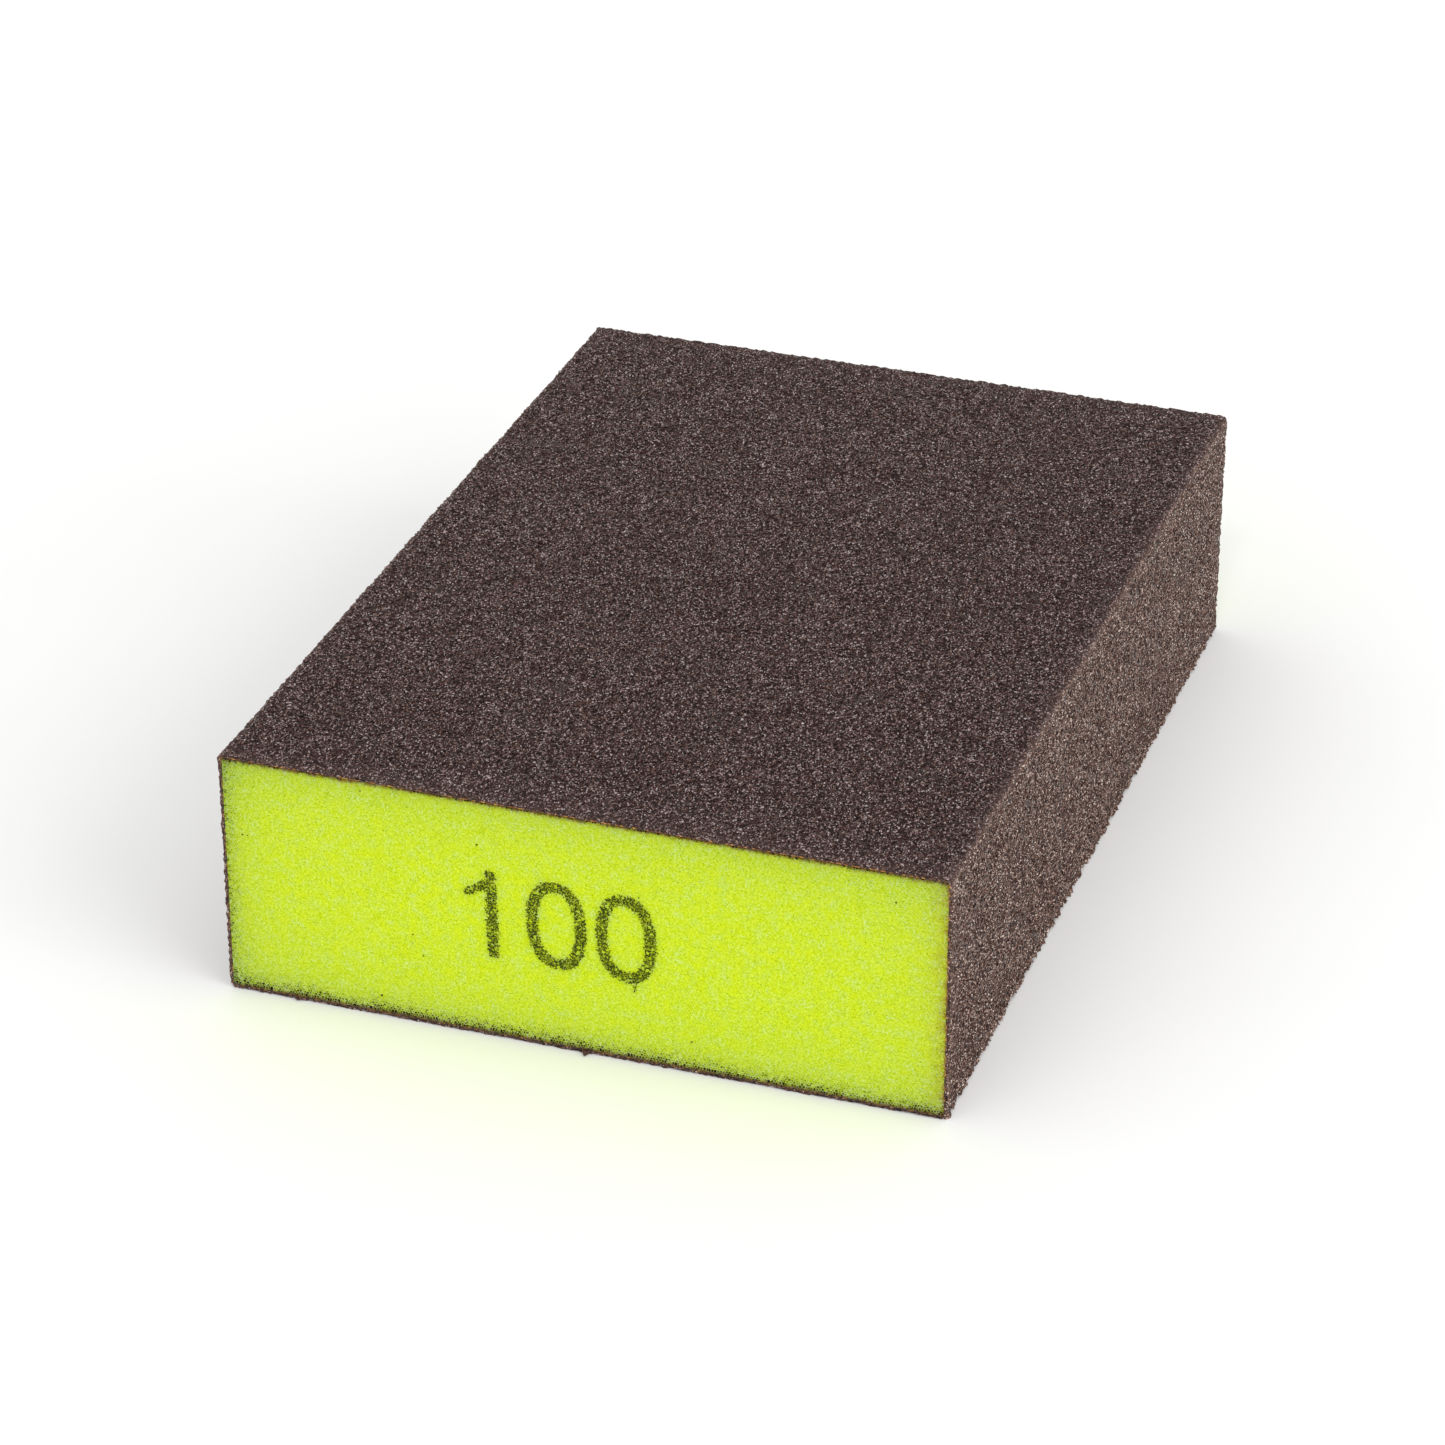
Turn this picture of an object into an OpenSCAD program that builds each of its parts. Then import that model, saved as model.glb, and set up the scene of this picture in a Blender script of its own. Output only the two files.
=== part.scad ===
// Four-sided sanding block: an open-cell foam core, coated with abrasive on its
// four long faces and left bare on its two cut ends. Each face carries the three
// layers of a coated abrasive: a bond coat, the grain, and a size coat.
// The origin is the middle of the bottom face, and the front end faces -Y.

/* [Block] */
// Width across the two narrow coated faces
block_w = 70; // [50:1:120]
// Length from the front end to the back end
block_l = 100; // [60:1:160]
// Height from the bottom coated face to the top one
block_h = 25; // [20:1:40]
// Outer radius of the four long edges
edge_r = 0.6; // [0.5:0.1:3]

/* [Abrasive coats] */
// Thickness of the bond coat, the resin next to the foam
bond_t = 0.1; // [0.05:0.01:0.12]
// Thickness of the grain layer
grain_t = 0.2; // [0.1:0.01:0.22]
// Thickness of the size coat, the resin film over the grain
size_t = 0.06; // [0.03:0.01:0.1]

/* [Grit number] */
// Height of the digits
digit_h = 9.1; // [6:0.1:12]
// Width of a zero
zero_w = 5.8; // [4:0.1:7]
// Width of the printed stroke
stroke_w = 1.1; // [0.8:0.1:1.5]
// Depth that the ink soaks into the foam
ink_depth = 0.2; // [0.1:0.05:0.5]
// Middle of the first zero, across the front end
number_x = -2.2; // [-4:0.1:4]
// Middle of the digits, above the bottom face
number_z = 13; // [9:0.1:14]

/* [Hidden] */
coat_t = bond_t + grain_t + size_t;

// Spaces beside and between the digits
stem_gap = 2.8;
zero_gap = 0.9;

// The flag of the one, as parts of the digit height
flag_reach = 0.23;
flag_top = 0.09;
flag_drop = 0.14;
flag_h = 0.11;

// A power above 2 makes the zero squarer than an ellipse
zero_power = 2.3;
zero_points = 48;

// Length that cutting shapes run past the solid they cut
clearance = 1;

$fn = 64;

FACES = ["top", "bottom", "left", "right"];

// ---------- the block's cross-section, in X and Z ----------

// The outline at a depth below the outer surface, with its corners rounded
module outline(depth) {
    w = block_w - 2 * depth;
    h = block_h - 2 * depth;
    r = edge_r - depth;
    square([w - 2 * r, h], center = true);
    square([w, h - 2 * r], center = true);
    for (x = [-1, 1], z = [-1, 1])
        translate([x * (w / 2 - r), z * (h / 2 - r)]) circle(r);
}

// The quarter of the section that belongs to one face: its sides pass through
// the middles of the corner arcs at 45 degrees, so neighbouring coats are mitred
module face_sector(face) {
    flat = (face == "top" || face == "bottom");
    turn = [["top", 0], ["left", 90], ["bottom", 180], ["right", 270]];
    half_w = (flat ? block_w : block_h) / 2;
    half_h = (flat ? block_h : block_w) / 2;
    inner = half_w - edge_r;
    foot = half_h - edge_r;
    rise = edge_r + clearance;
    angle = [for (t = turn) if (t[0] == face) t[1]][0];
    rotate(angle)
        polygon([
            [inner + rise, foot + rise],
            [-inner - rise, foot + rise],
            [-inner, foot],
            [-inner + edge_r / 2, foot - edge_r / 2],
            [inner - edge_r / 2, foot - edge_r / 2],
            [inner, foot]
        ]);
}

// Runs a section along the whole block, from the front end to the back end
module along_block()
    translate([0, block_l / 2, block_h / 2])
        rotate([90, 0, 0])
            linear_extrude(block_l) children();

// One coat on one face, between two depths below the outer surface
module coat(face, outer_depth, thickness)
    along_block()
        intersection() {
            difference() {
                outline(outer_depth);
                outline(outer_depth + thickness);
            }
            face_sector(face);
        }

// ---------- the printed number ----------

// A point on the zero's outline, which is a squared-off ellipse
function oval_point(a, half_w, half_h) = [
    sign(cos(a)) * half_w * pow(abs(cos(a)), 2 / zero_power),
    sign(sin(a)) * half_h * pow(abs(sin(a)), 2 / zero_power)
];

module oval(w, h)
    polygon([for (i = [0 : zero_points - 1])
        oval_point(i * 360 / zero_points, w / 2, h / 2)]);

module zero()
    difference() {
        oval(zero_w, digit_h);
        oval(zero_w - 2 * stroke_w, digit_h - 2 * stroke_w);
    }

// The one: an upright stem, and a flag that slopes down to its left
module one() {
    left = -stroke_w / 2;
    top = digit_h / 2;
    flag_end = left - digit_h * flag_reach;
    polygon([
        [left, -top],
        [-left, -top],
        [-left, top],
        [left, top],
        [left, top - digit_h * flag_top],
        [flag_end, top - digit_h * (flag_top + flag_drop)],
        [flag_end, top - digit_h * (flag_top + flag_drop + flag_h)],
        [left, top - digit_h * (flag_top + flag_h)]
    ]);
}

module number_outline() {
    translate([-(zero_w + stroke_w) / 2 - stem_gap, 0]) one();
    zero();
    translate([zero_w + zero_gap, 0]) zero();
}

// The inked volume, from the cut face to the depth that the ink reaches
module number_solid(front_margin)
    translate([number_x, -block_l / 2 + ink_depth, number_z])
        rotate([90, 0, 0])
            linear_extrude(ink_depth + front_margin) number_outline();

// ---------- the sub-parts ----------

module foam_core()
    color([0.82, 0.91, 0.22])
        difference() {
            along_block() outline(coat_t);
            number_solid(clearance);
        }

module bond_coat(face)
    color([0.62, 0.38, 0.16]) coat(face, size_t + grain_t, bond_t);

module grain_coat(face)
    color([0.36, 0.29, 0.27]) coat(face, size_t, grain_t);

module size_coat(face)
    color([0.33, 0.24, 0.20]) coat(face, 0, size_t);

module grit_number()
    color([0.20, 0.24, 0.13]) number_solid(0);

foam_core();
for (face = FACES) {
    bond_coat(face);
    grain_coat(face);
    size_coat(face);
}
grit_number();
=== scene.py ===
"""A four-sided sanding block: open-cell foam, coated with abrasive grain on its four long faces."""
import math

import bpy
import numpy as np
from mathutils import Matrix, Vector
from mathutils.geometry import delaunay_2d_cdt


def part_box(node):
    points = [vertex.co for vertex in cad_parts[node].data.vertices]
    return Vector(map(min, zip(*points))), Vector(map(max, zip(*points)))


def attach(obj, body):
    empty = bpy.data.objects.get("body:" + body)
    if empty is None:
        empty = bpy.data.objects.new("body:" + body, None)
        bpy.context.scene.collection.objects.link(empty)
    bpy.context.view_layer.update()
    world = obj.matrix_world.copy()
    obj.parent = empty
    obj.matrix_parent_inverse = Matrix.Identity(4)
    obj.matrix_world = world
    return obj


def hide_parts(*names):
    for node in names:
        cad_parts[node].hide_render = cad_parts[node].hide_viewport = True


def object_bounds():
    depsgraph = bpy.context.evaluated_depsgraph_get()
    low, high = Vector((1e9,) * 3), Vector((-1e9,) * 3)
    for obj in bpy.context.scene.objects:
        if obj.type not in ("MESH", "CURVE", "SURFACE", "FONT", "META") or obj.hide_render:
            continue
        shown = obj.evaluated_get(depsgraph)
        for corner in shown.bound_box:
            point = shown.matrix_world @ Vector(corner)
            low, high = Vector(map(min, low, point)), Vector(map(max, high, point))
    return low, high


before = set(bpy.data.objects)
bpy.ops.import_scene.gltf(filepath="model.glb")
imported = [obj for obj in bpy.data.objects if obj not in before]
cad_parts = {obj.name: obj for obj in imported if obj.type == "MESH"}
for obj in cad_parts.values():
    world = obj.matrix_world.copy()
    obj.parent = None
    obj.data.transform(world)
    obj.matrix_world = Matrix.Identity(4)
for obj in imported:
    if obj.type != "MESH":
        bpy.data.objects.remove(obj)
CAD_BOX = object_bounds()

MM = 0.001
ROOT3_HALF = math.sqrt(3) / 2

# ---------------------------------------------------------------- sizes, from the frame
BLOCK_LOW, BLOCK_HIGH = (np.array(corner) for corner in CAD_BOX)
BLOCK_W, BLOCK_L, BLOCK_H = BLOCK_HIGH - BLOCK_LOW
MIDDLE_Z = (BLOCK_LOW[2] + BLOCK_HIGH[2]) / 2


def top_of(node):
    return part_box(node)[1][2]


SIZE_T = top_of("size_coat_top") - top_of("grain_coat_top")
GRAIN_T = top_of("grain_coat_top") - top_of("bond_coat_top")
BOND_T = top_of("bond_coat_top") - top_of("foam_core")
COAT_T = SIZE_T + GRAIN_T + BOND_T

# The top coat ends halfway round the long edges, so its width gives their radius
TOP_COAT_LOW, TOP_COAT_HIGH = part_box("size_coat_top")
MITRE_INSET = (BLOCK_W - (TOP_COAT_HIGH[0] - TOP_COAT_LOW[0])) / 2
EDGE_R = MITRE_INSET / (1 - math.sqrt(0.5))

# How far apart the grains, the size resin's points and the foam's cells are
GRAIN_PITCH = 0.29 * MM
RESIN_PITCH = 0.62 * MM
CELL_PITCH = 0.27 * MM

FACES = ("top", "right", "bottom", "left")


# ---------------------------------------------------------------- meshes
def make_piece(name, points, polygons, material):
    """polygons is a list of arrays of point numbers, one row for each polygon."""
    mesh = bpy.data.meshes.new(name)
    corners = np.concatenate([p.ravel() for p in polygons]).astype(np.int32)
    sizes = np.concatenate([np.full(len(p), p.shape[1]) for p in polygons])
    starts = np.concatenate([[0], np.cumsum(sizes)[:-1]]).astype(np.int32)
    mesh.vertices.add(len(points))
    mesh.vertices.foreach_set("co", points.astype(np.float32).ravel())
    mesh.loops.add(len(corners))
    mesh.loops.foreach_set("vertex_index", corners)
    mesh.polygons.add(len(sizes))
    mesh.polygons.foreach_set("loop_start", starts)
    mesh.polygons.foreach_set("use_smooth", np.zeros(len(sizes), bool))
    mesh.update(calc_edges=True)
    mesh.validate()
    mesh.materials.append(material)
    piece = bpy.data.objects.new(name, mesh)
    bpy.context.scene.collection.objects.link(piece)
    return piece


def add_values(piece, name, domain, values):
    """Stores one number for each point or polygon, which the materials read by name."""
    layer = piece.data.attributes.new(name, "FLOAT", domain)
    layer.data.foreach_set("value", values.astype(np.float32))


def boundary_edges(triangles):
    """The edges that only one polygon uses, each in that polygon's own direction."""
    edges = np.concatenate([
        np.stack([triangles[:, k], triangles[:, (k + 1) % triangles.shape[1]]], 1)
        for k in range(triangles.shape[1])
    ])
    sorted_edges = np.sort(edges, 1)
    key = sorted_edges[:, 0].astype(np.int64) * (sorted_edges.max() + 1) + sorted_edges[:, 1]
    _, first, count = np.unique(key, return_index=True, return_counts=True)
    return edges[first[count == 1]]


# ---------------------------------------------------------------- the block's section
def section_parts():
    """The outline's flats and arcs, clockwise seen from the front, starting along the top."""
    start = 0.0
    for side in range(4):
        angle = math.pi / 2 * (1 - side)
        across, away = (BLOCK_W, BLOCK_H) if side % 2 == 0 else (BLOCK_H, BLOCK_W)
        flat = across - 2 * EDGE_R
        quarter = math.pi / 2 * EDGE_R
        yield side, angle, flat, quarter, away / 2, start
        start += flat + quarter


OUTLINE_L = 2 * (BLOCK_W + BLOCK_H) - 8 * EDGE_R + 2 * math.pi * EDGE_R


def section(u, height):
    """The x and z of points at a distance u along the outline and a height over it."""
    u = np.mod(u, OUTLINE_L)
    x, z = np.zeros_like(u), np.zeros_like(u)
    for _, angle, flat, quarter, away, start in section_parts():
        out = np.array([math.cos(angle), math.sin(angle)])
        along = np.array([math.sin(angle), -math.cos(angle)])
        on = (u >= start) & (u < start + flat)
        step = u[on] - start - flat / 2
        x[on] = out[0] * (away + height[on]) + along[0] * step
        z[on] = out[1] * (away + height[on]) + along[1] * step
        on = (u >= start + flat) & (u < start + flat + quarter)
        turned = angle - (u[on] - start - flat) / EDGE_R
        centre = out * (away - EDGE_R) + along * flat / 2
        x[on] = centre[0] + (EDGE_R + height[on]) * np.cos(turned)
        z[on] = centre[1] + (EDGE_R + height[on]) * np.sin(turned)
    return x, z + MIDDLE_Z


def face_middles():
    """Each face's middle along the outline, and half the stretch that is its own."""
    for side, _, flat, quarter, _, start in section_parts():
        yield FACES[side], start + flat / 2, (flat + quarter) / 2


def from_middle(u, middle):
    """How far points are past a place on the outline, or before it if that is the shorter way."""
    return np.mod(u - middle + OUTLINE_L / 2, OUTLINE_L) - OUTLINE_L / 2


# ---------------------------------------------------------------- smooth noise
def smooth_noise(a, b, scale, seed, waves=24):
    """A soft random surface over a and b, about -1 to 1, whose lumps are about scale across."""
    rng = np.random.default_rng(seed)
    angle = rng.uniform(0, 2 * math.pi, waves)
    pace = 2 * math.pi / scale * rng.uniform(0.35, 1.0, waves)
    phase = rng.uniform(0, 2 * math.pi, waves)
    total = np.zeros_like(a)
    for k in range(waves):
        total += np.sin(pace[k] * (a * math.cos(angle[k]) + b * math.sin(angle[k])) + phase[k])
    return total / math.sqrt(waves)


# ---------------------------------------------------------------- jittered lattices
def split_quads(points, a, b, c, d):
    """Two triangles for each quad a, b, d, c, across its shorter diagonal if both stay upright."""
    def area(p, q, r):
        pq, pr = points[q] - points[p], points[r] - points[p]
        return pq[:, 0] * pr[:, 1] - pq[:, 1] * pr[:, 0]

    def span(p, q):
        return np.linalg.norm(points[q] - points[p], axis=1)

    over_bc = np.minimum(area(a, b, c), area(b, d, c))
    over_ad = np.minimum(area(a, b, d), area(a, d, c))
    use_bc = np.where((over_bc > 0) & (over_ad > 0), span(b, c) < span(a, d), over_bc > over_ad)
    first = np.where(use_bc[:, None], np.stack([a, b, c], 1), np.stack([a, b, d], 1))
    second = np.where(use_bc[:, None], np.stack([b, d, c], 1), np.stack([a, d, c], 1))
    return np.concatenate([first, second])


def ring_lattice(pitch, jitter, length, rng):
    """Points right round the block, as distances along the outline and y, and their triangles."""
    columns = round(OUTLINE_L / pitch)
    rows = round(length / (pitch * ROOT3_HALF))
    row, column = np.mgrid[0:rows + 1, 0:columns + 1]
    shift = rng.uniform(-jitter, jitter, (rows + 1, columns + 1, 2)) * pitch
    shift[:, columns] = shift[:, 0]
    shift[[0, rows], :, 1] *= 0.6
    u = (column + row % 2 / 2) * OUTLINE_L / columns + shift[..., 0]
    y = (row / rows - 0.5) * length + shift[..., 1]
    flat = np.stack([u, y], -1).reshape(-1, 2)
    number = np.arange((rows + 1) * (columns + 1)).reshape(rows + 1, columns + 1)
    corners = (number[:-1, :-1], number[:-1, 1:], number[1:, :-1], number[1:, 1:])
    a, b, c, d = (n.ravel() for n in corners)
    triangles = split_quads(flat, a, b, c, d)
    # The last column is the first one again, once round the block
    wrapped = np.where(np.arange(len(flat)) % (columns + 1) == columns,
                       np.arange(len(flat)) - columns, np.arange(len(flat)))
    return flat, wrapped[triangles]


# ---------------------------------------------------------------- the coats
# The share of its random tone that a coat keeps where it is cut, and below
CUT_TONE = 0.95


def edge_highlight_and_rubbing(across, y, half):
    """How pale the grains are, by their places on a face: most along its long edges, where they are
    rubbed and a painted highlight lies where the rounding catches the light; some near the cut ends.
    """
    from_long_edge = np.maximum(half - np.abs(across), 0)
    from_cut_end = np.maximum(BLOCK_L / 2 - np.abs(y), 0)
    return np.exp(-from_long_edge / (0.42 * MM)) + 0.5 * np.exp(-from_cut_end / (1.5 * MM))


def underside(places, rim, half):
    """The places and triangles that close a face below: its rim's places, in the rim's order,
    and two rows of more where the long edges' rounding starts."""
    y = places[:, 1]
    row_y = np.arange(y.min() + MM, y.max() - MM / 2, MM)
    inset = half - math.pi / 4 * EDGE_R
    rows = [np.stack([np.full_like(row_y, side * inset), row_y], 1) for side in (-1, 1)]
    low_places = np.concatenate([places[rim[:, 0]]] + rows)
    order = {number: k for k, number in enumerate(rim[:, 0])}
    edges = [(order[p], order[q]) for p, q in rim]
    found = delaunay_2d_cdt([Vector(place) for place in low_places / MM], edges, [], 1, 1e-6)
    first_input = np.array([inputs[0] for inputs in found[3]])
    return low_places, first_input[np.array(found[2])]


def coat_pieces(prefix, flat, triangles, height, under, materials):
    """Splits a sheet round the block into its four faces, and closes each down to a depth.
    A place on a face is a distance across it from its middle, and a y."""
    pieces = {}
    rng = np.random.default_rng(len(flat))
    for face, middle, half in face_middles():
        across = from_middle(flat[:, 0], middle)
        first = across[triangles[:, 0]]
        mine = triangles[(first >= -half) & (first < half)]
        used, local = np.unique(mine, return_inverse=True)
        local = local.reshape(mine.shape)
        places = np.stack([across[used], flat[used, 1]], 1)
        rim = boundary_edges(local)
        low_places, low_triangles = underside(places, rim, half)
        low_number = np.full(len(used), -1)
        low_number[rim[:, 0]] = len(used) + np.arange(len(rim))
        walls = np.stack([rim[:, 1], rim[:, 0], low_number[rim[:, 0]], low_number[rim[:, 1]]], 1)
        rise = np.concatenate([height[used], np.full(len(low_places), -under)])
        x, z = section(np.concatenate([flat[used, 0], low_places[:, 0] + middle]), rise)
        places = np.concatenate([places, low_places])
        piece = make_piece(f"{prefix}_{face}", np.stack([x, places[:, 1], z], 1),
                           [local, walls, low_triangles[:, ::-1] + len(used)], materials[face])
        add_values(piece, "rise", "POINT", rise / MM)
        # Paleness along the edges: rubbed grains, and a painted highlight on the rounding.
        add_values(piece, "highlight_and_rubbing", "POINT", np.clip(edge_highlight_and_rubbing(*places.T, half), 0, 1))
        tone = rng.random(len(piece.data.polygons))
        tone[len(local):] *= CUT_TONE
        add_values(piece, "tone", "FACE", tone)
        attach(piece, "root")
        pieces[face] = piece
    return pieces


def edge_height(u, y, rng):
    """The grains stand out unevenly on the long edges, and in teeth along the lower right one.
    The top right edge is squarer than its rounding, and the bottom right one is blunter."""
    height = np.zeros_like(u)
    # Of the edge after each face: how far its teeth stand out, their share of the grains,
    # how far from the edge they reach, and how far the edge itself stands out, in mm
    edges = (
        (0.08, 0.2, 0.9, 0.18),
        (0.5, 0.38, 0.55, -0.13),
        (0.14, 0.3, 0.8, 0),
        (0.09, 0.25, 0.9, 0),
    )
    for number, (_, middle, half) in enumerate(face_middles()):
        tooth_height, share, reach, squareness = edges[number]
        away = np.abs(from_middle(u, middle + half))
        closeness = (1 - np.clip(away / (reach * MM), 0, 1)) ** 0.6
        high = rng.uniform(0.4, 1, len(u))
        low = rng.uniform(-0.5, 0.1, len(u))
        tooth = np.where(rng.random(len(u)) < share, high, low)
        height += closeness * tooth_height * tooth
        height += squareness * (1 - np.clip(away / (math.pi / 4 * EDGE_R), 0, 1)) ** 2
        height += closeness * 0.03 * smooth_noise(y, 0 * y, 5 * MM, 81 + number)
    return height * MM


def front_lip(u, y):
    """The top coat turns up a little at the front left corner."""
    _, middle, half = list(face_middles())[3]
    away = np.hypot(from_middle(u, middle + half), y + BLOCK_L / 2)
    return 0.12 * MM * np.exp(-(away / (0.6 * MM)) ** 2)


def crumbs(u, y):
    """How far two crumbs of grain stick out in front of the bottom coat's front edge."""
    _, middle, _ = list(face_middles())[2]
    out = np.zeros_like(u)
    for x, length in ((0.5, 0.75), (-28.0, 0.45)):
        out += length * MM * np.exp(-(from_middle(u, middle - x * MM) / (0.2 * MM)) ** 2)
    return np.where(y < -BLOCK_L / 2 + GRAIN_PITCH / 2, out, 0)


def make_grain(materials):
    """The grains, tips and valleys at random, closed down to the bond coat."""
    rng = np.random.default_rng(11)
    flat, triangles = ring_lattice(GRAIN_PITCH, 0.36, BLOCK_L, rng)
    flat[:, 1] -= crumbs(*flat.T)
    count = len(flat)
    u, y = flat.T
    is_tip = rng.random(count) < 0.5
    tips = rng.uniform(-0.03, 0.04, count)
    valleys = rng.uniform(-0.13, -0.05, count)
    height = np.where(is_tip, tips, valleys) * MM
    height += smooth_noise(u, y, 6 * MM, 12) * 0.015 * MM
    height += edge_height(u, y, rng) + front_lip(u, y)
    under = SIZE_T + GRAIN_T
    height = np.maximum(height, 0.05 * MM - under)
    pieces = coat_pieces("grain", flat, triangles, height, under, materials)
    for face, piece in pieces.items():
        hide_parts(f"grain_coat_{face}")


def make_resin(material):
    """A smoother sheet of resin, which shows in the valleys between the grains."""
    rng = np.random.default_rng(31)
    flat, triangles = ring_lattice(RESIN_PITCH, 0.3, BLOCK_L - 0.1 * MM, rng)
    u, y = flat.T
    height = (-0.105 + 0.01 * smooth_noise(u, y, 3 * MM, 32)) * MM
    height += rng.uniform(-0.01, 0.01, len(flat)) * MM
    pieces = coat_pieces("size_resin", flat, triangles, height, 0.19 * MM,
                          dict.fromkeys(FACES, material))
    for face, piece in pieces.items():
        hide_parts(f"size_coat_{face}")


# ---------------------------------------------------------------- the foam
FOAM_LOW, FOAM_HIGH = (np.array(corner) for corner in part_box("foam_core"))
FOAM_W, FOAM_H = FOAM_HIGH[0] - FOAM_LOW[0], FOAM_HIGH[2] - FOAM_LOW[2]
FOAM_R = EDGE_R - COAT_T
# The share of the foam's cells that hold a dark bit
DARK_BITS = 0.0004


def foam_depth(points, inset=0.0):
    """How far points of the end face are inside the foam's outline, and the nearest place to
    each that is an inset within the outline."""
    core = np.array([FOAM_W, FOAM_H]) / 2 - FOAM_R
    nearest_core = np.clip(points, -core, core)
    away = points - nearest_core
    length = np.linalg.norm(away, axis=1)
    inside = length < 1e-9
    # A point within the core rectangle goes straight to its nearest side
    gap = core - np.abs(points)
    axis = np.argmin(gap, 1)
    rows = np.arange(len(points))
    step = np.zeros_like(points)
    step[rows, axis] = np.where(points[rows, axis] < 0, -1.0, 1.0)
    straight = nearest_core.copy()
    straight[rows, axis] = step[rows, axis] * core[axis]
    unit = np.where(inside[:, None], step, away / np.maximum(length, 1e-9)[:, None])
    base = np.where(inside[:, None], straight, nearest_core)
    place = base + unit * (FOAM_R - inset)
    depth = np.where(inside, gap[rows, axis] + FOAM_R, FOAM_R - length)
    return depth, place


def foam_cells():
    """The cells of a cut face: where three cells meet, and each cell's ring of such meetings."""
    rng = np.random.default_rng(51)
    columns = int(FOAM_W / CELL_PITCH) + 5
    rows = int(FOAM_H / (CELL_PITCH * ROOT3_HALF)) + 5
    row, column = np.mgrid[0:rows, 0:columns]
    centres = np.stack([
        (column - (columns - 1) / 2 + row % 2 / 2 - 0.25) * CELL_PITCH,
        (row - (rows - 1) / 2) * CELL_PITCH * ROOT3_HALF,
    ], -1).reshape(-1, 2)
    centres += rng.uniform(-0.42, 0.42, centres.shape) * CELL_PITCH
    number = np.arange(rows * columns).reshape(rows, columns)
    corners = (number[:-1, :-1], number[:-1, 1:], number[1:, :-1], number[1:, 1:])
    triangles = split_quads(centres, *(n.ravel() for n in corners))
    meetings = centres[triangles].mean(1)
    depth, _ = foam_depth(centres)
    kept = depth > 0.3 * CELL_PITCH
    kept_corners = kept[triangles].sum(1)
    on_rim = (kept_corners > 0) & (kept_corners < 3)
    _, place = foam_depth(meetings, rng.uniform(0, 0.05 * MM, (len(meetings), 1)))
    meetings = np.where(on_rim[:, None], place, meetings)
    # Each cell's meetings, in order round it
    cell = triangles.ravel()
    meeting = np.repeat(np.arange(len(triangles)), 3)
    use = kept[cell]
    cell, meeting = cell[use], meeting[use]
    spoke = meetings[meeting] - centres[cell]
    order = np.lexsort((np.arctan2(spoke[:, 1], spoke[:, 0]), cell))
    cell, meeting = cell[order], meeting[order]
    _, start, count = np.unique(cell, return_index=True, return_counts=True)
    cell_number = np.repeat(np.arange(len(start)), count)
    follow = np.arange(len(cell)) + 1
    follow[start + count - 1] = start
    used, meeting = np.unique(meeting, return_inverse=True)
    return meetings[used], meeting, cell_number, follow, len(start)


def coat_shades(points):
    """How far the coats act on the foam at places on its end face: they tint it, fill its cells,
    turn it orange, and make it paler. The filling is dark resin near every coat, with painted
    shade added where it is strongest, towards the bottom and left. A fade is from a coat, with
    an amount beside it and a reach in mm."""
    gaps = {
        "left": points[:, 0] + FOAM_W / 2,
        "right": FOAM_W / 2 - points[:, 0],
        "bottom": points[:, 1] + FOAM_H / 2,
        "top": FOAM_H / 2 - points[:, 1],
    }

    def fade(*sources):
        return sum(amount * np.exp(-gaps[face] / (reach * MM)) for face, amount, reach in sources)

    wide = [("bottom", 0.3, 5.0), ("left", 0.25, 5.0), ("right", 0.2, 5.0), ("top", 0.3, 5.0)]
    tint = fade(("bottom", 0.3, 0.9), ("left", 0.32, 1.0), ("right", 0.1, 1.0), ("top", 0.36, 1.5),
                *wide)
    # Dark resin near the coats, with painted shade in the strong darkening towards the bottom and
    # left.
    resin_and_shade = fade(("bottom", 0.8, 0.63), ("left", 0.3, 0.75), ("right", 0.04, 0.5), ("top", 1.7, 0.11))
    resin_and_shade *= 1 + 0.2 * smooth_noise(points[:, 0], points[:, 1], 6 * MM, 41)
    warm = fade(("top", 1.8, 0.2), ("right", 0.5, 0.12), ("right", 0.5, 0.9), ("bottom", 1.5, 0.12))
    warm *= 1 + 0.3 * smooth_noise(points[:, 0], points[:, 1], 1.2 * MM, 42)
    pale = fade(("bottom", 0.5, 0.3), ("bottom", 0.8, 0.9), ("left", 0.25, 1.0), *wide)
    return tint, resin_and_shade, warm, pale


def foam_end(crests, resin_and_shade, warm, seed):
    """One end's random values: how far inside the cut its points are, how full each cell is
    with dark resin and painted shade, and what the material reads. The crests' points come first,
    then the pits'."""
    rng = np.random.default_rng(seed)
    cells = len(resin_and_shade) - crests
    chance = rng.random(cells) ** 2
    filled_with_resin_and_shade = np.clip(resin_and_shade[crests:] * rng.uniform(0.4, 3.1, cells), 0, 1)
    filled_with_resin_and_shade[rng.random(cells) < DARK_BITS] = 0.8
    pit_depth = 0.03 + 0.09 * chance + 0.1 * filled_with_resin_and_shade
    inward = np.concatenate([rng.uniform(0.0, 0.03, crests), pit_depth]) * MM
    crests_darkened = 0.55 * resin_and_shade[:crests] ** 2 * rng.uniform(0.4, 1.6, crests)
    return inward, filled_with_resin_and_shade, {
        "pore": np.concatenate([np.zeros(crests), 0.3 + 0.7 * chance]),
        "stain_and_shade": np.concatenate([crests_darkened, np.zeros(cells)]),
        "warm": warm * rng.uniform(0.3, 1.7, len(warm)),
    }


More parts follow.
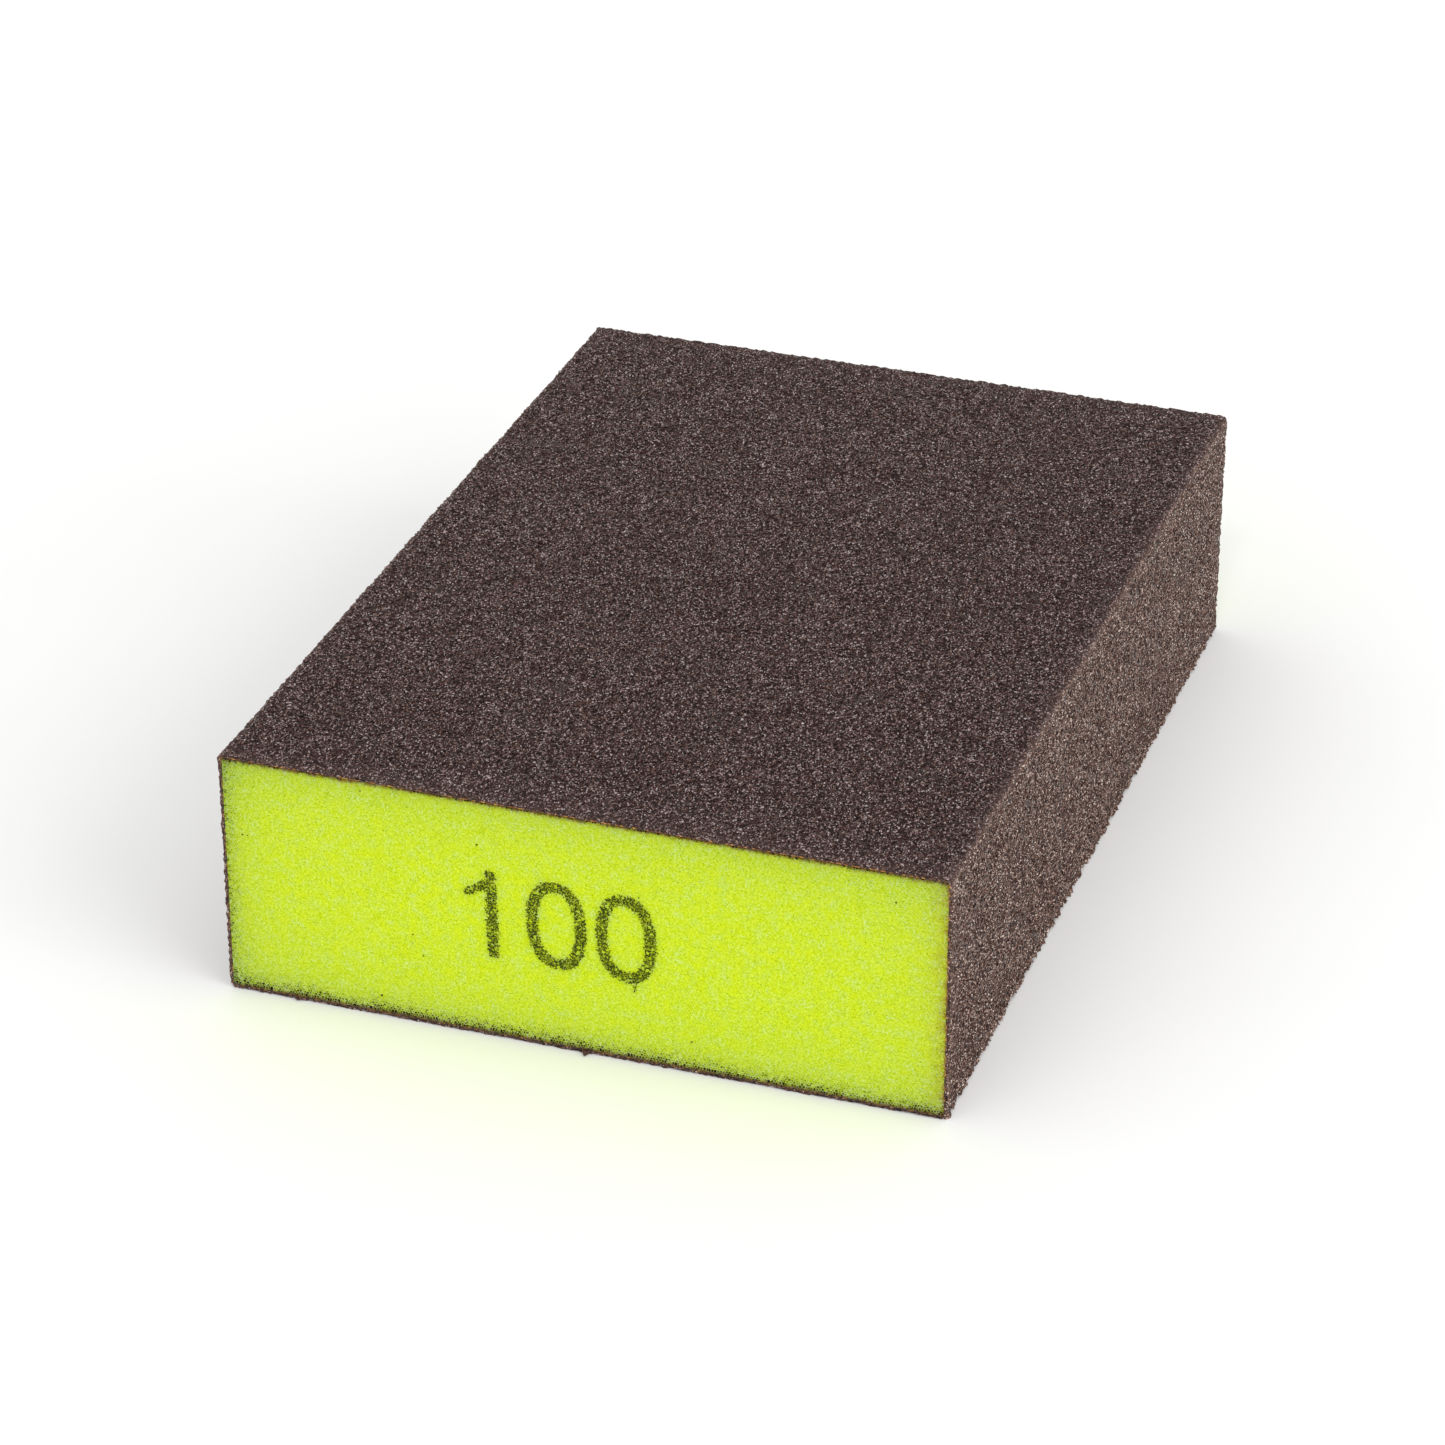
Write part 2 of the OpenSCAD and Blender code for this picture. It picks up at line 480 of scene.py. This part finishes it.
def make_foam(material, ink_material):
    """Each cell of a cut end is a fan of triangles, from the pit in its middle to its crests."""
    meetings, meeting, cell, follow, cells = foam_cells()
    middles = np.stack([np.bincount(cell, meetings[meeting, k], cells) for k in (0, 1)], 1)
    middles /= np.bincount(cell, minlength=cells)[:, None]
    plane = np.concatenate([meetings, middles])
    tint, resin_and_shade, warm, pale = coat_shades(plane)
    crests = len(meetings)
    fans = np.stack([meeting, meeting[follow], crests + cell], 1)
    rim = boundary_edges(fans)
    front_in, front_resin_and_shade, front = foam_end(crests, resin_and_shade, warm, 61)
    back_in, back_resin_and_shade, back = foam_end(crests, resin_and_shade, warm, 62)
    y = np.concatenate([front_in - BLOCK_L / 2, BLOCK_L / 2 - back_in])
    x, z = np.tile(plane, (2, 1)).T
    points = np.stack([x, y, z + MIDDLE_Z], 1)
    n = len(plane)
    sides = np.stack([rim[:, 1], rim[:, 0], rim[:, 0] + n, rim[:, 1] + n], 1)
    piece = make_piece("foam_block", points, [fans, fans[:, ::-1] + n, sides], material)
    print_shade = 0.4 * np.exp(-np.maximum(outside_number(plane), 0) / (0.3 * MM))
    values = {name: np.concatenate([front[name], back[name]]) for name in front}
    values["tint"] = np.concatenate([tint + print_shade, tint])
    values["pale"] = np.tile(pale, 2)
    for name, value in values.items():
        add_values(piece, name, "POINT", np.clip(value, 0, 1))
    # The dark fill of each cell: resin, with painted shade towards the bottom and left.
    fill = np.concatenate([front_resin_and_shade[cell], back_resin_and_shade[cell], np.zeros(len(sides))])
    add_values(piece, "fill", "FACE", fill)
    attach(piece, "root")
    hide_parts("foam_core")
    make_ink(points, fans, ink_material)


# ---------------------------------------------------------------- the printed number
NUMBER_LOW, NUMBER_HIGH = (np.array(corner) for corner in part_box("grit_number"))
DIGIT_H = NUMBER_HIGH[2] - NUMBER_LOW[2]
STROKE = 1.1 * MM
ZERO_W = 5.8 * MM
ZERO_STEP = 6.7 * MM
FLAG_REACH = 0.23
SLANT = 0.03
# The ink's film lies a little over the foam's surface, and goes a little under it
INK_OVER = 0.012 * MM
INK_UNDER = 0.02 * MM
CLEAR_PORES = 0.06
INKED_STRANDS = 0.82


def oval_line(centre_x, centre_z, samples=240):
    """Points along the middle of a zero's stroke, a squared-off ellipse."""
    turn = np.linspace(0, 2 * math.pi, samples, endpoint=False)
    half_w, half_h = (ZERO_W - STROKE) / 2, (DIGIT_H - STROKE) / 2
    power = 2 / 2.3
    x = np.sign(np.cos(turn)) * half_w * np.abs(np.cos(turn)) ** power
    z = np.sign(np.sin(turn)) * half_h * np.abs(np.sin(turn)) ** power
    return np.stack([centre_x + x, centre_z + z], 1)


def straight_line(start, end, samples=80):
    t = np.linspace(0, 1, samples)[:, None]
    return np.array(start) * (1 - t) + np.array(end) * t


def number_line():
    """Points along the middles of all the strokes, on the end face, and half the stroke there."""
    middle_z = (NUMBER_LOW[2] + NUMBER_HIGH[2]) / 2
    second = NUMBER_HIGH[0] - ZERO_W / 2
    stem = NUMBER_LOW[0] + FLAG_REACH * DIGIT_H + STROKE / 2
    top, foot = NUMBER_HIGH[2] - STROKE / 2, NUMBER_LOW[2] + STROKE / 2
    flag_start = (stem - STROKE / 4, NUMBER_HIGH[2] - 0.15 * DIGIT_H)
    flag_end = (NUMBER_LOW[0] + 0.4 * MM, NUMBER_HIGH[2] - 0.275 * DIGIT_H)
    flag = straight_line(flag_start, flag_end)
    # A little ink has run below the last zero
    run_start = (second + 0.85 * MM, NUMBER_LOW[2] + 0.1 * MM)
    run_end = (second + 0.6 * MM, NUMBER_LOW[2] - 0.8 * MM)
    strokes = [
        (oval_line(second - ZERO_STEP, middle_z), STROKE / 2),
        (oval_line(second, middle_z - 0.1 * MM), STROKE / 2),
        (straight_line((stem, foot), (stem, top)), STROKE / 2),
        (flag, np.linspace(0.5, 0.36, len(flag)) * MM),
        (straight_line(run_start, run_end), 0.07 * MM),
    ]
    line = np.concatenate([places for places, _ in strokes])
    half = np.concatenate([np.broadcast_to(reach, len(places)) for places, reach in strokes])
    line[:, 0] += SLANT * (middle_z - line[:, 1])
    return line - (0, MIDDLE_Z), half


def outside_number(plane):
    """How far places on the end face are outside the strokes; far ones are not measured."""
    line, half = number_line()
    outside = np.full(len(plane), 9 * MM)
    close = np.nonzero((np.abs(plane - line.mean(0)) < (12 * MM, 7 * MM)).all(1))[0]
    best = np.full(len(close), np.inf)
    for place, reach in zip(line, half):
        best = np.minimum(best, np.hypot(*(plane[close] - place).T) - reach)
    outside[close] = best
    return outside


def make_ink(points, fans, material):
    """A thin film on the foam that the print reached, closed all round, with pores left clear."""
    rng = np.random.default_rng(71)
    centre = points[fans].mean(1)[:, [0, 2]] - (0, MIDDLE_Z)
    edge = rng.normal(0, 0.07 * MM, len(fans))
    clear_pore = rng.random(fans.max() + 1)[fans[:, 2]] < CLEAR_PORES
    inked = (outside_number(centre) < edge) & ~clear_pore & (rng.random(len(fans)) < INKED_STRANDS)
    chosen = fans[inked]
    used, top = np.unique(chosen, return_inverse=True)
    top = top.reshape(chosen.shape)
    rim = boundary_edges(top)
    over, under = points[used].copy(), points[used].copy()
    over[:, 1] -= INK_OVER
    under[:, 1] += INK_UNDER
    n = len(used)
    walls = np.stack([rim[:, 1], rim[:, 0], rim[:, 0] + n, rim[:, 1] + n], 1)
    piece = make_piece("ink_number", np.concatenate([over, under]),
                       [top, walls, top[:, ::-1] + n], material)
    tone = np.random.default_rng(72).random(len(piece.data.polygons))
    add_values(piece, "tone", "FACE", tone)
    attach(piece, "root")
    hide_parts("grit_number")


# ---------------------------------------------------------------- materials
# Specks in a metre, along each axis, of the coats' finest mineral grains, whose palest are painted
# glints
SPECKS = (9800, 6400, 9800)


def new_material(name):
    """A new material, its nodes, its links and its shader."""
    material = bpy.data.materials.new(name)
    material.use_nodes = True
    nodes = material.node_tree.nodes
    return material, nodes, material.node_tree.links, nodes["Principled BSDF"]


def attribute(nodes, name):
    node = nodes.new("ShaderNodeAttribute")
    node.attribute_name = name
    return node.outputs["Fac"]


def ramp(nodes, links, source, stops):
    """Colours along a value: stops are (place, (r, g, b))."""
    node = nodes.new("ShaderNodeValToRGB")
    points = node.color_ramp.elements
    while len(points) < len(stops):
        points.new(0.5)
    for point, (place, colour) in zip(points, stops):
        point.position = place
        point.color = (*colour, 1)
    links.new(source, node.inputs["Fac"])
    return node.outputs["Color"]


def spread(nodes, links, source, low, high, to_low=0.0, to_high=1.0):
    """Stretches a value from one range to another."""
    node = nodes.new("ShaderNodeMapRange")
    links.new(source, node.inputs["Value"])
    node.inputs["From Min"].default_value = low
    node.inputs["From Max"].default_value = high
    node.inputs["To Min"].default_value = to_low
    node.inputs["To Max"].default_value = to_high
    return node.outputs["Result"]


def blend(nodes, links, kind, amount, first, second):
    """Mixes two colours; amount and the colours are sockets or plain values."""
    node = nodes.new("ShaderNodeMix")
    node.data_type = "RGBA"
    node.blend_type = kind
    for name, value in (("Factor", amount), ("A", first), ("B", second)):
        wanted = "RGBA" if name != "Factor" else "VALUE"
        socket = next(s for s in node.inputs if s.name == name and s.type == wanted)
        if isinstance(value, bpy.types.NodeSocket):
            links.new(value, socket)
        else:
            socket.default_value = value
    return next(s for s in node.outputs if s.type == "RGBA")


def noise(nodes, links, scale, detail=2.0):
    place = nodes.new("ShaderNodeTexCoord")
    node = nodes.new("ShaderNodeTexNoise")
    node.inputs["Scale"].default_value = scale
    node.inputs["Detail"].default_value = detail
    links.new(place.outputs["Object"], node.inputs["Vector"])
    return node.outputs["Fac"]


def grains_noise(nodes, links, scale):
    """A random value for each small cell of the surface; scale has a part for each axis."""
    place = nodes.new("ShaderNodeTexCoord")
    stretch = nodes.new("ShaderNodeMapping")
    stretch.inputs["Scale"].default_value = scale
    node = nodes.new("ShaderNodeTexVoronoi")
    node.inputs["Scale"].default_value = 1.0
    links.new(place.outputs["Object"], stretch.inputs["Vector"])
    links.new(stretch.outputs["Vector"], node.inputs["Vector"])
    split = nodes.new("ShaderNodeSeparateColor")
    links.new(node.outputs["Color"], split.inputs["Color"])
    return split.outputs["Red"]


def add(nodes, links, first, second, share):
    """The mean of two values, with a share of the second."""
    node = nodes.new("ShaderNodeMix")
    node.inputs["Factor"].default_value = share
    links.new(first, node.inputs["A"])
    links.new(second, node.inputs["B"])
    return node.outputs["Result"]


def bump(nodes, links, shader, height, strength, distance):
    node = nodes.new("ShaderNodeBump")
    node.inputs["Strength"].default_value = strength
    node.inputs["Distance"].default_value = distance
    links.new(height, node.inputs["Height"])
    links.new(node.outputs["Normal"], shader.inputs["Normal"])


def grain_material(tint):
    """Brown mineral grains, paler along the edges where they are rubbed and as a painted highlight;
    a tint scales their colour for each coat, as painted light."""
    material, nodes, links, shader = new_material("brown_grain")
    facet = attribute(nodes, "tone")
    speck = grains_noise(nodes, links, SPECKS)
    tone = add(nodes, links, facet, speck, 0.88)
    # The last, bluish-white stop is painted glints; the stops below it are the grains' own browns.
    shades = [
        (0.18, (0.008, 0.0026, 0.0018)),
        (0.42, (0.022, 0.0088, 0.0066)),
        (0.67, (0.082, 0.045, 0.037)),
        (0.84, (0.285, 0.252, 0.245)),
        (0.96, (0.81, 1.03, 1.16)),
    ]
    colours = ramp(nodes, links, tone, [
        (place, tuple(min(1.0, part * scale) for part, scale in zip(shade, tint)))
        for place, shade in shades
    ])
    # Darker at the grains' low points: partly the size resin that coats them there, partly painted
    # shade between the grains.
    rise = spread(nodes, links, attribute(nodes, "rise"), -0.2, 0.04, 0.8, 1.0)
    dark = blend(nodes, links, "MULTIPLY", 1.0, colours, rise)
    # Paler along the edges: rubbed grains, and a painted highlight where the rounding catches the
    # light.
    highlight_and_rubbing = spread(nodes, links, attribute(nodes, "highlight_and_rubbing"), 0, 1, 0, 0.18)
    highlighted_and_rubbed = blend(nodes, links, "MIX", highlight_and_rubbing, dark, (*(0.42 * part for part in tint), 1))
    links.new(highlighted_and_rubbed, shader.inputs["Base Color"])
    links.new(spread(nodes, links, tone, 0.2, 0.9, 0.65, 0.3), shader.inputs["Roughness"])
    shader.inputs["Specular IOR Level"].default_value = 0.12
    bump(nodes, links, shader, speck, 0.7, 0.05 * MM)
    return material


def resin_material():
    material, nodes, links, shader = new_material("size_resin")
    tone = add(nodes, links, attribute(nodes, "tone"), grains_noise(nodes, links, SPECKS), 0.85)
    colours = ramp(nodes, links, tone, [
        (0.2, (0.006, 0.0024, 0.0018)),
        (0.6, (0.028, 0.014, 0.011)),
        (0.9, (0.13, 0.095, 0.085)),
    ])
    links.new(colours, shader.inputs["Base Color"])
    links.new(spread(nodes, links, tone, 0, 1, 0.35, 0.5), shader.inputs["Roughness"])
    shader.inputs["Specular IOR Level"].default_value = 0.1
    bump(nodes, links, shader, noise(nodes, links, 4000), 0.4, 0.03 * MM)
    return material


def bond_material(lightness_with_shade):
    """Red-brown resin, orange where it is thin. It is darker on the bottom and left coats,
    whose resin has run into the foam, and as painted shade there."""
    material, nodes, links, shader = new_material("bond_resin")
    shades = [
        (0.44, (0.030, 0.010, 0.006)),
        (0.54, (0.20, 0.06, 0.012)),
        (0.66, (0.55, 0.28, 0.04)),
    ]
    colours = ramp(nodes, links, noise(nodes, links, 2500), [
        (place, tuple(part * lightness_with_shade for part in shade)) for place, shade in shades
    ])
    links.new(colours, shader.inputs["Base Color"])
    shader.inputs["Roughness"].default_value = 0.45
    bump(nodes, links, shader, noise(nodes, links, 5000), 0.3, 0.03 * MM)
    return material


def foam_material():
    """Lime-yellow foam, darker in its pits as painted shade, and changed near the coats as
    coat_shades says, partly with painted shade.
    """
    material, nodes, links, shader = new_material("lime_foam")
    pore = attribute(nodes, "pore")
    fine = spread(nodes, links, noise(nodes, links, 4500, 1.5), 0.34, 0.66)
    light = ramp(nodes, links, fine, [
        (0.0, (0.50, 0.64, 0.005)),
        (0.5, (0.575, 0.71, 0.019)),
        (1.0, (0.635, 0.765, 0.066)),
    ])
    patches = ramp(nodes, links, noise(nodes, links, 900, 3), [
        (0.34, (1.035, 1.015, 0.1)),
        (0.5, (1.0, 1.0, 1.0)),
        (0.66, (0.965, 0.985, 3.3)),
    ])
    patched = blend(nodes, links, "MULTIPLY", 1.0, light, patches)
    pale = blend(nodes, links, "MULTIPLY", 1.0, light, (1.0, 1.0, 4.2, 1))
    paler = blend(nodes, links, "MIX", attribute(nodes, "pale"), patched, pale)
    # The pits are darker and yellower: painted shade in the open cells.
    inside = blend(nodes, links, "MULTIPLY", pore, paler, (0.80, 0.85, 0.4, 1))
    tinted = blend(nodes, links, "MULTIPLY", attribute(nodes, "tint"), inside, (0.54, 0.61, 1.0, 1))
    warmed = blend(nodes, links, "MULTIPLY", attribute(nodes, "warm"), tinted, (0.62, 0.32, 0.75, 1))
    # Crests and pits near the coats darken: resin, with painted shade towards the bottom and left.
    soaked_and_shaded = blend(nodes, links, "MULTIPLY", attribute(nodes, "stain_and_shade"), warmed, (0.2, 0.12, 0.1, 1))
    filling = ramp(nodes, links, pore, [(0.0, (0.94, 0.91, 0.85)), (0.27, (0.05, 0.028, 0.022))])
    stained = blend(nodes, links, "MULTIPLY", attribute(nodes, "fill"), soaked_and_shaded, filling)
    links.new(stained, shader.inputs["Base Color"])
    shader.inputs["Roughness"].default_value = 0.85
    shader.inputs["Subsurface Weight"].default_value = 0.5
    shader.inputs["Subsurface Radius"].default_value = (1.0, 1.0, 0.2)
    shader.inputs["Subsurface Scale"].default_value = 0.3 * MM
    shader.inputs["Specular IOR Level"].default_value = 0.15
    return material


def ink_material():
    """Olive ink, whose cover varies from strand to strand."""
    material, nodes, links, shader = new_material("olive_ink")
    tone = attribute(nodes, "tone")
    colours = ramp(nodes, links, tone, [
        (0.0, (0.022, 0.031, 0.004)),
        (0.6, (0.068, 0.096, 0.005)),
        (1.0, (0.33, 0.38, 0.010)),
    ])
    links.new(colours, shader.inputs["Base Color"])
    shader.inputs["Specular IOR Level"].default_value = 0.08
    shader.inputs["Roughness"].default_value = 0.8
    return material


def floor_material():
    material, nodes, links, shader = new_material("pale_floor")
    colours = ramp(nodes, links, noise(nodes, links, 30), [
        (0.3, (0.925, 0.925, 0.92)),
        (0.7, (0.935, 0.935, 0.93)),
    ])
    links.new(colours, shader.inputs["Base Color"])
    shader.inputs["Roughness"].default_value = 0.9
    return material


# ---------------------------------------------------------------- stage, lights, camera
def make_floor():
    half = 3.0
    # The lowest grains press a little into the floor
    z = BLOCK_LOW[2] - 0.05 * MM
    points = np.array([(-half, -half, z), (half, -half, z), (half, half, z), (-half, half, z)])
    make_piece("floor", points, [np.array([[0, 1, 2, 3]])], floor_material())


def direction(azimuth, elevation):
    """From the block to where it is seen from: azimuth 0 is in front, 90 on the right."""
    a, e = math.radians(azimuth), math.radians(elevation)
    return Vector((math.sin(a) * math.cos(e), -math.cos(a) * math.cos(e), math.sin(e)))


def soft_light(name, azimuth, elevation, distance, size, power):
    """A square lamp that faces the block, placed as the camera's angles are."""
    data = bpy.data.lights.new(name, "AREA")
    data.shape = "SQUARE"
    data.size = size
    data.energy = power
    lamp = bpy.data.objects.new(name, data)
    bpy.context.scene.collection.objects.link(lamp)
    aim = Vector((0, 0, MIDDLE_Z))
    lamp.location = aim + direction(azimuth, elevation) * distance
    lamp.rotation_euler = (lamp.location - aim).to_track_quat("Z", "Y").to_euler()


def make_lights():
    world = bpy.data.worlds.new("studio")
    bpy.context.scene.world = world
    world.use_nodes = True
    background = world.node_tree.nodes["Background"]
    background.inputs["Color"].default_value = (1, 1, 1, 1)
    background.inputs["Strength"].default_value = 0.88
    soft_light("key_right", azimuth=72, elevation=25, distance=1.8, size=1.5, power=14)
    soft_light("fill_front", azimuth=-20, elevation=25, distance=1.8, size=1.2, power=4)
    soft_light("sparkle", azimuth=10, elevation=48, distance=1.2, size=0.12, power=1.4)


def make_camera():
    """The view is level, and aims a little left of and below the block's middle."""
    azimuth, elevation, distance = 18.91, 28.85, 486.8 * MM
    aim = Vector((-3.42 * MM, 0, 7.79 * MM))
    data = bpy.data.cameras.new("camera")
    data.sensor_width = 36.0
    data.lens = 121.86
    data.clip_start = 0.01
    camera = bpy.data.objects.new("camera", data)
    bpy.context.scene.collection.objects.link(camera)
    back = direction(azimuth, elevation)
    camera.location = aim + back * distance
    camera.rotation_euler = back.to_track_quat("Z", "Y").to_euler()
    bpy.context.scene.camera = camera


def dress_bond_coats():
    """The bond coats keep their CAD solids, with a material of their own."""
    # The bottom and left coats get the darker copy: painted shade, with their resin run into the
    # foam.
    light, dark = bond_material(1.0), bond_material(0.5)
    for face in FACES:
        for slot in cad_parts[f"bond_coat_{face}"].material_slots:
            slot.material = light if face in ("top", "right") else dark


bpy.context.scene.view_settings.view_transform = "Standard"
make_floor()
make_lights()
make_camera()
dress_bond_coats()
# Each coat's tint is painted light: the top is darker, and the sides and the bottom lighter, than
# the lamps alone make them.
lit_side_grain = grain_material((1.02, 0.685, 0.535))
make_grain({
    "top": grain_material((0.63, 0.425, 0.38)),
    "bottom": grain_material((0.88, 0.60, 0.50)),
    "left": lit_side_grain,
    "right": lit_side_grain,
})
make_resin(resin_material())
make_foam(foam_material(), ink_material())
